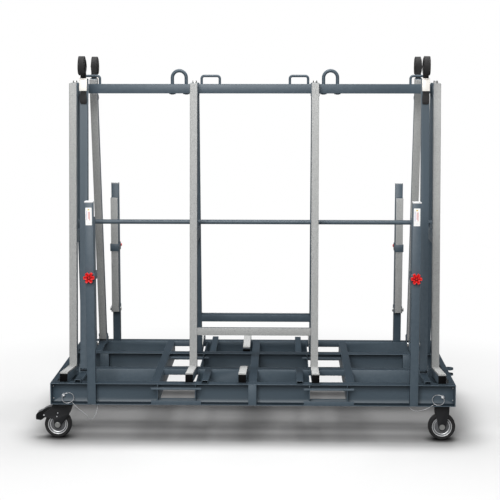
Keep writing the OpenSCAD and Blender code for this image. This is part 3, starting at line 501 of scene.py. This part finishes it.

# Castor mounts and forks: pressed steel dipped in a black coat, with plated axle bolts. The left
# pair turns on ball races and has moulded brake pedals whose tops carry a painted grey highlight; the
# right pair is fixed.
fork_black = coated("black_dip_coat", (26, 27, 29), (20, 21, 23), 0.42, rubbed=((120, 120, 122), 0.3),
                    dusty=0.04, gloss=0.3)
pedal_black = coated("moulded_black", (19, 20, 21), (14, 15, 16), 0.5, peel=moulded_grain, gloss=0.12)
top_highlight_grey = coated("pedal_tread_grey", (96, 97, 100), (78, 79, 82), 0.42, peel=(300, 0.0001))
axle_height = 0.0625
axle_head, cheeks_out = 0.0135, 0.0281
highlight_low, highlight_half = 0.118, 0.0205


def near_axle(x):
    """Faces of the axle bolt's head and nut outside the cheeks"""
    return lambda p: (abs(p.x - x) < axle_head and abs(p.z - axle_height) < axle_head
                      and abs(abs(p.y) - castor_y) > cheeks_out)


mounts = dressed("castor_mounts", "pressed_castor_mounts", fork_black, 0.0007)
repaint(mounts, bolt_steel, near_axle(fixed_x))
for c in ("fl", "rl"):
    fork = dressed("swivel_fork_" + c, "pressed_fork_" + c, fork_black, 0.0007)
    repaint(fork, bolt_steel, near_axle(turning_x))
    pedal = dressed("brake_pedal_" + c, "moulded_pedal_" + c, pedal_black, 0.003, 0.004)
    # Painted highlight: the pedal's upper faces are lighter grey where light falls on them
    repaint(pedal, top_highlight_grey, lambda p: p.z > highlight_low and abs(abs(p.y) - castor_y) < highlight_half)

# Rivets: small plated heads on both cheeks of each turning fork, two above the axle and one that
# holds the pedal's spring.
rivet_places = ((-0.8985, 0.1186), (-0.9030, 0.1020), (-0.962, 0.108))
rivet_radius, cheek_face = 0.0036, 0.0266
for c in ("fl", "rl"):
    depth = corners[c][1]
    for number, (x, z) in enumerate(rivet_places):
        for face, sign in (("out", 1), ("in", -1)):
            spot = (x, depth * (castor_y + sign * cheek_face), z)
            bpy.ops.object.select_all(action="DESELECT")
            bpy.ops.mesh.primitive_uv_sphere_add(segments=20, ring_count=10, radius=rivet_radius,
                                                 location=spot)
            rivet = bpy.context.object
            rivet.name = "rivet_%s_%s_%d" % (c, face, number)
            bpy.ops.object.transform_apply(location=True, rotation=True, scale=True)
            rivet.data.materials.append(zinc)
            bpy.ops.object.shade_smooth()
            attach(rivet, "swivel_" + c)
            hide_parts("swivel_fork_" + c)

# Wheels: a black rubber tyre on a stepped rim of pressed and plated steel, with painted bright highlight
# bands where the steps catch the light. Each turns on its axle between the cheeks.
tyre_black = coated("tyre_rubber_black", (31, 31, 32), (25, 25, 26), 0.72, peel=(500, 0.0001),
                    dusty=0.1, gloss=0.3)
rim_steel = coated("rim_plated", (112, 113, 115), (96, 98, 101), 0.46, metallic=0.4, peel=(300, 0.00005))
rim_highlight = coated("rim_painted_highlight", (214, 215, 216), (198, 199, 201), 0.36, metallic=0.3,
                    peel=(300, 0.00002))


def turned(name, centre, axis, rings, material, sides=72, closed=False):
    """A turned piece: a circle is extruded from ring to ring, each a radius and an offset on the axis"""
    axis = Vector(axis).normalized()
    turn = axis.to_track_quat("Z", "Y").to_euler()
    start = Vector(centre) + axis * rings[0][1]
    bpy.ops.object.select_all(action="DESELECT")
    bpy.ops.mesh.primitive_circle_add(vertices=sides, radius=rings[0][0], location=start, rotation=turn,
                                      fill_type="NOTHING" if closed else "NGON")
    piece = bpy.context.object
    piece.name = name
    bpy.ops.object.transform_apply(location=True, rotation=True, scale=True)
    bpy.ops.object.mode_set(mode="EDIT")
    bpy.ops.mesh.select_all(action="SELECT")
    for (r0, a0), (r1, a1) in zip(rings, rings[1:] + (rings[:1] if closed else [])):
        bpy.ops.mesh.extrude_region_move(TRANSFORM_OT_translate={"value": axis * (a1 - a0)})
        middle = Vector(centre) + axis * a1
        bpy.ops.transform.resize(value=(r1 / r0,) * 3, center_override=middle)
    bpy.ops.mesh.select_all(action="SELECT")
    if closed:
        bpy.ops.mesh.remove_doubles(threshold=0.00001)
    bpy.ops.mesh.normals_make_consistent(inside=False)
    bpy.ops.object.mode_set(mode="OBJECT")
    piece.data.materials.append(material)
    bpy.ops.object.shade_smooth_by_angle(angle=radians(32))
    return piece


def copied(piece, name, offset=(0, 0, 0), mirror=(1, 1, 1)):
    """A copy with its own mesh, mirrored about the origin's planes and then moved"""
    twin = piece.copy()
    twin.data = piece.data.copy()
    twin.name = name
    bpy.context.collection.objects.link(twin)
    twin.parent = None
    twin.matrix_world = Matrix.Identity(4)
    twin.data.transform(Matrix.Translation(offset) @ Matrix.Diagonal((*mirror, 1)))
    if mirror[0] * mirror[1] * mirror[2] < 0:
        twin.data.flip_normals()
    return twin


wheel_x = {"fl": turning_x, "rl": turning_x, "fr": fixed_x, "rr": fixed_x}
tyre_profile = [(0.0457, -0.0180), (0.0530, -0.0188), (0.0562, -0.0196), (0.0590, -0.0176),
                (0.0612, -0.0140), (0.0623, -0.0095), (0.0625, -0.0040), (0.0625, 0.0040),
                (0.0623, 0.0095), (0.0612, 0.0140), (0.0590, 0.0176), (0.0562, 0.0196),
                (0.0530, 0.0188), (0.0457, 0.0180)]
rim_profile = [(0.0062, -0.0235), (0.0135, -0.0235), (0.0140, -0.0225), (0.0140, -0.0095),
               (0.0200, -0.0085), (0.0210, -0.0105), (0.0275, -0.0105), (0.0285, -0.0080),
               (0.0325, -0.0070), (0.0340, -0.0115), (0.0368, -0.0125), (0.0385, -0.0118),
               (0.0415, -0.0135), (0.0425, -0.0180), (0.0450, -0.0188), (0.0455, -0.0180)]
highlight_bands = ((0.0427, 0.0448), (0.0350, 0.0358))
rim_profile = rim_profile + [(r, -a) for r, a in reversed(rim_profile)]
first_tyre = turned("tyre_fl", (0, 0, 0), (0, 1, 0), tyre_profile, tyre_black, closed=True)
first_rim = turned("rim_fl", (0, 0, 0), (0, 1, 0), rim_profile, rim_steel, closed=True)
# Painted highlight: bright bands on two of the rim's steps
repaint(first_rim, rim_highlight,
        lambda p: any(inner < Vector((p.x, p.z)).length < outer for inner, outer in highlight_bands))
for c, (_, depth) in corners.items():
    at = (wheel_x[c], depth * castor_y, axle_height)
    for first, name in ((first_tyre, "turned_tyre_" + c), (first_rim, "turned_rim_" + c)):
        piece = copied(first, name, at)
        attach(piece, "wheel_" + c)
        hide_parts("wheel_" + c)
for first in (first_tyre, first_rim):
    bpy.data.objects.remove(first)

# Ring collars: folded flat steel round each post and clamp bar, painted like the frame, with a
# threaded boss in front for the knob. They slide along the post to lock the bar.
for c in corners:
    ring = dressed("collar_" + c, "folded_collar_" + c, steel_blue, 0.0008)

# Star knobs: moulded red grips with six lobes on a plated steel stud. The stud is screwed through
# the collar's boss and presses on the post. The grip's face has a round recess, its ring painted a darker
# red as shade.
red_grain = (900, 0.00003)
red = coated("moulded_red", (222, 22, 20), (204, 16, 16), 0.4, peel=red_grain)
red_painted_shade = coated("moulded_red_recess_painted_shade", (132, 16, 20), (112, 12, 16), 0.5, peel=red_grain)
knob_z = {"f": 0.760, "r": 0.768}
knob_x = 0.7355
lobe_out, lobe_in = 0.0256, 0.0132
lobe_side = lobe_out * 0.955
recess_in, recess_out = 0.0038, 0.0084
knob_front, knob_back = -0.5364, -0.5184
bpy.ops.object.select_all(action="DESELECT")
bpy.ops.mesh.primitive_cylinder_add(vertices=24, radius=lobe_out, depth=knob_back - knob_front,
                                    location=(0, (knob_front + knob_back) / 2, 0), rotation=(pi / 2, 0, 0))
grip = bpy.context.object
bpy.ops.object.transform_apply(location=True, rotation=True, scale=True)
for point in grip.data.vertices:
    step = round(Vector((point.co.x, point.co.z)).angle_signed(Vector((1, 0))) / tau * 24) % 4
    reach = (lobe_out, lobe_side, lobe_in, lobe_side)[step]
    flat = Vector((point.co.x, point.co.z)).normalized() * reach
    point.co.x, point.co.z = flat
bpy.ops.object.mode_set(mode="EDIT")
bpy.ops.mesh.select_mode(type="FACE")
# Each step of the grip's face: an inset and then a push along the knob's axis
face_steps = ((0.0014, 0.0), (0.0018, -0.0006), (0.0016, -0.0056), (0.0030, 0.0), (0.0012, 0.0030))
for inset, push in face_steps:
    bpy.ops.mesh.select_all(action="DESELECT")
    sheet = bmesh.from_edit_mesh(grip.data)
    front = min(sheet.faces, key=lambda f: (f.calc_center_median() - Vector((0, knob_front, 0))).length)
    front.select = True
    bmesh.update_edit_mesh(grip.data)
    bpy.ops.mesh.inset(thickness=inset)
    bpy.ops.transform.translate(value=(0, -push, 0))
bpy.ops.object.mode_set(mode="OBJECT")
soften = grip.modifiers.new("rounded", "BEVEL")
soften.width = 0.0022
soften.segments = 2
soften.limit_method = "ANGLE"
soften.angle_limit = radians(50)
bpy.ops.object.modifier_apply(modifier=soften.name)
smooth = grip.modifiers.new("smooth", "SUBSURF")
smooth.levels = smooth.render_levels = 2
bpy.ops.object.modifier_apply(modifier=smooth.name)
grip.data.materials.append(red)
# Painted shade: the ring of the recess is a darker red
repaint(grip, red_painted_shade, lambda p: (recess_in < Vector((p.x, p.z)).length < recess_out
                                    and p.y < knob_back - 0.004))
bpy.ops.object.shade_smooth()
stud_rings = [(0.0042, 0.5052), (0.0049, 0.5058), (0.0049, 0.5146), (0.0110, 0.5146), (0.0110, 0.5200)]
stud = turned("knob_stud", (0, 0, 0), (0, -1, 0), stud_rings, zinc, sides=32)
for c, (side, depth) in corners.items():
    for first, name, slot in ((grip, "star_grip_" + c, "knob_red"), (stud, "star_stud_" + c, "zinc")):
        piece = copied(first, name, (side * knob_x, 0, knob_z[c[0]]), (1, -depth, 1))
        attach(piece, "knob_" + c)
        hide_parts("star_knob_" + c)
for first in (grip, stud):
    bpy.data.objects.remove(first)

# Press bars: padded square tubes that lean in over the sheets from their sliding shoes.
# A pale coated buckle frame is welded to the outer face at the top.
buckle_cream = coated("buckle_cream_coat", (240, 230, 216), (232, 221, 206), 0.3, peel=(700, 0.00003))
press_joint = {j["name"]: j for j in frame["record"]["behaviour"]["joints"]}
lean_of = {"f": radians(5.66), "r": radians(9.6)}
bar_half = 0.0175


def bar_place(c, x, y, z):
    """A point in a press bar's own axes, with y inwards and z up the bar, as a place in the frame"""
    side, depth = corners[c]
    hx, hy, hz = press_joint["press_lean_" + c]["pos_m"]
    lean = lean_of[c[0]]
    inwards = y * cos(lean) + z * sin(lean)
    return Vector((hx - side * x, hy - depth * inwards, hz - y * sin(lean) + z * cos(lean)))


def in_bar(c, p):
    """A place in the frame as a point in a press bar's own axes"""
    side, depth = corners[c]
    hx, hy, hz = press_joint["press_lean_" + c]["pos_m"]
    lean = lean_of[c[0]]
    inwards, up = -depth * (p.y - hy), p.z - hz
    return Vector((-side * (p.x - hx), inwards * cos(lean) - up * sin(lean),
                   inwards * sin(lean) + up * cos(lean)))


for c in corners:
    bar = dressed("press_bar_" + c, "painted_press_bar_" + c, steel_blue, 0.0009)
    repaint(bar, buckle_cream, lambda p: in_bar(c, p).y < -bar_half - 0.0002 and in_bar(c, p).z > 1.0)
    shoe = dressed("shoe_" + c, "folded_shoe_" + c, steel_blue, 0.0008)

# Buckle levers: bright coated plates with two ears on a pin, which pinch the strap when shut.
# A dark tan rod across the top of each plate is a painted shadow of a thumb groove, and a short dark rod
# near its foot is the painted shade of a small slot.
def smooth_route(points, parts):
    """A curve through the points, with parts steps between each two"""
    line = []
    for i in range(len(points) - 1):
        a, b = Vector(points[max(i - 1, 0)]), Vector(points[i])
        c, d = Vector(points[i + 1]), Vector(points[min(i + 2, len(points) - 1)])
        for k in range(parts):
            t = k / parts
            line.append(0.5 * (2 * b + (c - a) * t + (2 * a - 5 * b + 4 * c - d) * t * t
                               + (3 * b - a - 3 * c + d) * t ** 3))
    return line + [Vector(points[-1])]


lever_white = coated("lever_white_coat", (238, 234, 228), (231, 227, 220), 0.34, peel=(700, 0.00003))
groove_painted_shadow = coated("lever_groove_tan", (112, 92, 76), (100, 82, 68), 0.5)
slot_painted_shade = coated("lever_slot_dark", (30, 28, 27), (24, 22, 21), 0.6)
ear_x, plate_back = 0.0169, -0.0336
groove_half, groove_radius, slot_radius = 12, 0.0011, 0.0014
for c in corners:
    lever = dressed("buckle_lever_" + c, "coated_lever_" + c, lever_white, 0.0006)
    repaint(lever, buckle_cream, lambda p: abs(in_bar(c, p).x) > ear_x or in_bar(c, p).y > plate_back)
    places = [in_bar(c, v.co) for v in lever.data.vertices]
    front, foot, head = min(p.y for p in places), min(p.z for p in places), max(p.z for p in places)
    groove = [bar_place(c, x / 1000, front + 0.0008, head - 0.0030 - 0.0030 * (1 - (x / groove_half) ** 2))
              for x in range(-groove_half, groove_half + 1, 2)]
    slot_line = [bar_place(c, x / 1000, front + 0.00135, foot + 0.0075) for x in (-4, -2, 0, 2, 4)]
    # Painted shadow and shade: a dark tan rod for the groove and a dark rod for the slot
    pressed = round_tube("lever_groove_" + c, groove, groove_radius, groove_painted_shadow)
    slot_shade = round_tube("lever_slot_" + c, slot_line, slot_radius, slot_painted_shade)
    for piece in (pressed, slot_shade):
        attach(piece, "lever_" + c)
        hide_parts("buckle_lever_" + c)

# Straps: dark woven webbing 27 mm wide. The spare length is rolled up in twelve loose turns above
# the buckle, and the end below it is folded back into a full loop and stitched.
webbing = bpy.data.materials.new("webbing_charcoal")
webbing.use_nodes = True
tree = webbing.node_tree
skin = tree.nodes["Principled BSDF"]
skin.inputs["Roughness"].default_value = 0.9
skin.inputs["Specular IOR Level"].default_value = 0.1
across = tree.nodes.new("ShaderNodeUVMap")
across.uv_map = "weave"
ribs = tree.nodes.new("ShaderNodeTexWave")
ribs.inputs["Scale"].default_value = 260
ribs.inputs["Distortion"].default_value = 0.6
ribs.bands_direction = "DIAGONAL"
tree.links.new(across.outputs["UV"], ribs.inputs["Vector"])
tufts = noise_at(tree, 900.0, 3, across.outputs["UV"])
tint = mix_colours(tree, tufts, linear(35, 35, 36), linear(69, 68, 67))
tree.links.new(mix_colours(tree, ribs.outputs["Fac"], tint, linear(48, 48, 49)), skin.inputs["Base Color"])
bump = tree.nodes.new("ShaderNodeBump")
bump.inputs["Distance"].default_value = 0.0005
tree.links.new(ribs.outputs["Fac"], bump.inputs["Height"])
tree.links.new(bump.outputs[0], skin.inputs["Normal"])

strap_w, strap_t = 0.027, 0.0019
roll_in, roll_step, roll_turns, per_turn = 0.0095, 0.00295, 12, 40
roll_out = roll_in + roll_turns * roll_step
roll_z = 1.401
strap_gap, half_web, cheek = 0.0004, 0.00105, 0.0016
strap_y = -bar_half - strap_gap - half_web - cheek


def band(name, c, line, normals, drift, widths):
    """Webbing along a line of y and z points in a bar's axes, with its drift and width at each"""
    mesh = bpy.data.meshes.new(name)
    rows = []
    for (y, z), (ny, nz), d, wide in zip(line, normals, drift, widths):
        for across_w, off in ((-1, -1), (-1, 1), (1, 1), (1, -1)):
            rows.append(bar_place(c, d + across_w * wide / 2, y + ny * off * strap_t / 2,
                                  z + nz * off * strap_t / 2))
    faces = []
    for i in range(len(line) - 1):
        for k in range(4):
            m = (k + 1) % 4
            faces.append((4 * i + k, 4 * i + m, 4 * i + 4 + m, 4 * i + 4 + k))
    last = 4 * (len(line) - 1)
    faces += [(3, 2, 1, 0), (last, last + 1, last + 2, last + 3)]
    mesh.from_pydata(rows, [], faces)
    run = [0.0]
    for (y0, z0), (y1, z1) in zip(line, line[1:]):
        run.append(run[-1] + ((y1 - y0) ** 2 + (z1 - z0) ** 2) ** 0.5)
    uv = mesh.uv_layers.new(name="weave")
    width_at = (0.0, 0.0, strap_w, strap_w)
    for face in mesh.polygons:
        for loop in face.loop_indices:
            v = mesh.loops[loop].vertex_index
            uv.data[loop].uv = (run[v // 4], width_at[v % 4])
    piece = bpy.data.objects.new(name, mesh)
    bpy.context.collection.objects.link(piece)
    mesh.materials.append(webbing)
    select_only(piece)
    bpy.ops.object.mode_set(mode="EDIT")
    bpy.ops.mesh.select_all(action="SELECT")
    bpy.ops.mesh.normals_make_consistent(inside=False)
    bpy.ops.object.mode_set(mode="OBJECT")
    bpy.ops.object.shade_smooth_by_angle(angle=radians(40))
    return piece


# The loop's fold: places out from the bar and up along it in metres, width and sideways drift in mm
fold = ((0.0, 1.2865, 27, 0), (0.0, 1.262, 30, 0), (-0.0002, 1.241, 32, 0.4), (-0.0018, 1.2315, 28, 0.8),
        (-0.0052, 1.2285, 22, 1), (-0.0092, 1.2305, 27, 1), (-0.0124, 1.238, 31.5, 1.2),
        (-0.0132, 1.2475, 34, 1.4), (-0.0118, 1.26, 33, 0.8), (-0.0088, 1.272, 30, 0.2),
        (-0.0062, 1.2865, 27, 0))
for number, c in enumerate(corners):
    spread = random.Random(11 + number)
    shift = [(-1) ** k * spread.uniform(0.002, 0.0062) for k in range(roll_turns + 2)]
    shift[-1] = shift[-2] = shift[-3] = 0.0
    line, normals, drift = [], [], []
    for i in range(roll_turns * per_turn + 1):
        turn = i / per_turn
        angle = -turn * tau
        r = roll_in + roll_step * turn
        line.append((strap_y - roll_out + r * cos(angle), roll_z + r * sin(angle)))
        normals.append((cos(angle), sin(angle)))
        k = int(turn)
        f = turn - k
        drift.append(shift[k] * (1 - f) + shift[k + 1] * f)
    for z in (1.385, 1.360, 1.335, 1.299):
        line.append((strap_y, z))
        normals.append((1, 0))
        drift.append(0.0)
    roll = band("rolled_strap_" + c, c, line, normals, drift, [strap_w] * len(line))
    y_in = -bar_half - strap_gap - strap_t / 2
    bulge = smooth_route([Vector((y_in + y, z, w / 1000)) for y, z, w, d in fold], 3)
    sway = smooth_route([Vector((d / 1000, 0, 0)) for y, z, w, d in fold], 3)
    loop_line = [(p.x, p.y) for p in bulge]
    loop_normals = []
    for k in range(len(loop_line)):
        (y0, z0), (y1, z1) = loop_line[max(k - 1, 0)], loop_line[min(k + 1, len(loop_line) - 1)]
        size = ((y1 - y0) ** 2 + (z1 - z0) ** 2) ** 0.5
        loop_normals.append(((z0 - z1) / size, (y1 - y0) / size))
    loop = band("strap_loop_" + c, c, loop_line, loop_normals, [p.x for p in sway], [p.z for p in bulge])
    for piece in (roll, loop):
        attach(piece, "press_bar_" + c)
        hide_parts("strap_" + c)

# Linch pins: plated steel pins through the castors' sockets, each with a spring ring through its
# head. They hold the castors in the base and are pulled out by the ring.
for c in corners:
    pin = dressed("linch_pin_" + c, "plated_pin_" + c, zinc, 0.0004, 0.004)

# Lanyards: thin plated wire ropes that hang from the rail's underside to beside the rings of the
# pins. The front left one hangs lower, clear of the turning castor.
wire = bpy.data.materials.new("wire_rope_plated")
wire.use_nodes = True
tree = wire.node_tree
skin = tree.nodes["Principled BSDF"]
skin.inputs["Metallic"].default_value = 0.45
skin.inputs["Roughness"].default_value = 0.42
along = tree.nodes.new("ShaderNodeUVMap")
along.uv_map = "lay"
strands = tree.nodes.new("ShaderNodeTexWave")
strands.inputs["Scale"].default_value = 300
strands.bands_direction = "DIAGONAL"
tree.links.new(along.outputs["UV"], strands.inputs["Vector"])
tree.links.new(mix_colours(tree, strands.outputs["Fac"], linear(120, 121, 124), linear(205, 206, 208)),
               skin.inputs["Base Color"])
bump = tree.nodes.new("ShaderNodeBump")
bump.inputs["Distance"].default_value = 0.0002
tree.links.new(strands.outputs["Fac"], bump.inputs["Height"])
tree.links.new(bump.outputs[0], skin.inputs["Normal"])

half_depth = 0.505
wire_r = 0.0013
# Both routes in mm: towards the middle from the fixed castor's place, inwards from the rail's
# face, and up from the floor
low_route = [(41, 17, 176), (45, 6, 176.5), (50, -4, 175), (60, -7, 166), (72, -7, 154), (86, -6, 142),
             (100, -5, 131), (112, -4, 119), (121, -2, 106), (130, 3, 99), (140, 10, 102), (148, 17, 115),
             (154, 23, 135), (157, 27, 153), (158, 28, 168.4)]
high_route = [(41, 17, 176), (44, 6, 176.5), (48, -3, 176), (58, -5, 171), (72, -4, 163),
              (86, -2, 156), (102, 2, 150), (118, 8, 146), (134, 14, 147), (146, 20, 153),
              (154, 25, 161), (158, 28, 168.4)]
for c, (side, depth) in corners.items():
    route = smooth_route(low_route if c == "fl" else high_route, 6)
    line = [Vector((side * (1000 * fixed_x - p.x), depth * (1000 * half_depth - p.y), p.z)) / 1000
            for p in route]
    rope = round_tube("lanyard_" + c, line, wire_r, wire)
    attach(rope, "frame")
    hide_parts("lanyards")

# Labels: white plastic stickers on the outer faces of the two front posts, with plain coloured lines
# where the printing is and no lettering
sticker = coated("sticker_white", (244, 244, 242), (238, 238, 236), 0.35, peel=(300, 0.00001))
print_yellow = coated("sticker_yellow", (226, 196, 60), (220, 188, 50), 0.4)
print_red = coated("sticker_red", (206, 44, 52), (198, 38, 46), 0.4)
print_violet = coated("sticker_violet", (186, 182, 216), (178, 174, 208), 0.4)
label_size, label_z = (0.0288, 0.0003, 0.0795), 1.0357
label_y, ink_y, ink_depth = -0.5052, -0.50535, 0.00012
# Each line's middle from the label's middle, across and up, then its width and height
label_lines = ((0.0, 0.0305, 0.0065, 0.0055), (0.0048, 0.0020, 0.0020, 0.0400),
               (0.0, 0.0050, 0.0020, 0.0330), (-0.0085, 0.0040, 0.0026, 0.0440),
               (0.0, -0.0300, 0.0080, 0.0012))
for c in ("fl", "fr"):
    middle = corners[c][0] * knob_x
    bpy.ops.object.select_all(action="DESELECT")
    bpy.ops.mesh.primitive_cube_add(size=1, location=(middle, label_y, label_z), scale=label_size)
    label = bpy.context.object
    label.name = "plain_label_" + c
    bpy.ops.object.transform_apply(location=True, rotation=True, scale=True)
    bpy.ops.object.mode_set(mode="EDIT")
    bpy.ops.mesh.select_mode(type="EDGE")
    bpy.ops.mesh.select_all(action="DESELECT")
    sheet = bmesh.from_edit_mesh(label.data)
    for edge in sheet.edges:
        edge.select = abs(edge.verts[0].co.y - edge.verts[1].co.y) > 0.0001
    bmesh.update_edit_mesh(label.data)
    bpy.ops.mesh.bevel(offset=0.002, segments=4, affect="EDGES")
    for x, z, wide, high in label_lines:
        bpy.ops.mesh.primitive_cube_add(size=1, location=(middle + x, ink_y, label_z + z),
                                        scale=(wide, ink_depth, high))
    bpy.ops.object.mode_set(mode="OBJECT")
    label.data.materials.append(sticker)
    ink_front = ink_y - 0.00001
    repaint(label, print_red, lambda p: p.y < ink_front and -0.0012 < p.x - middle < 0.006)
    repaint(label, print_yellow, lambda p: p.y < ink_front and 0.027 < p.z - label_z)
    repaint(label, print_violet, lambda p: (p.y < ink_front and (p.x - middle < -0.007
                                                                 or p.z - label_z < -0.029)))
    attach(label, "frame")
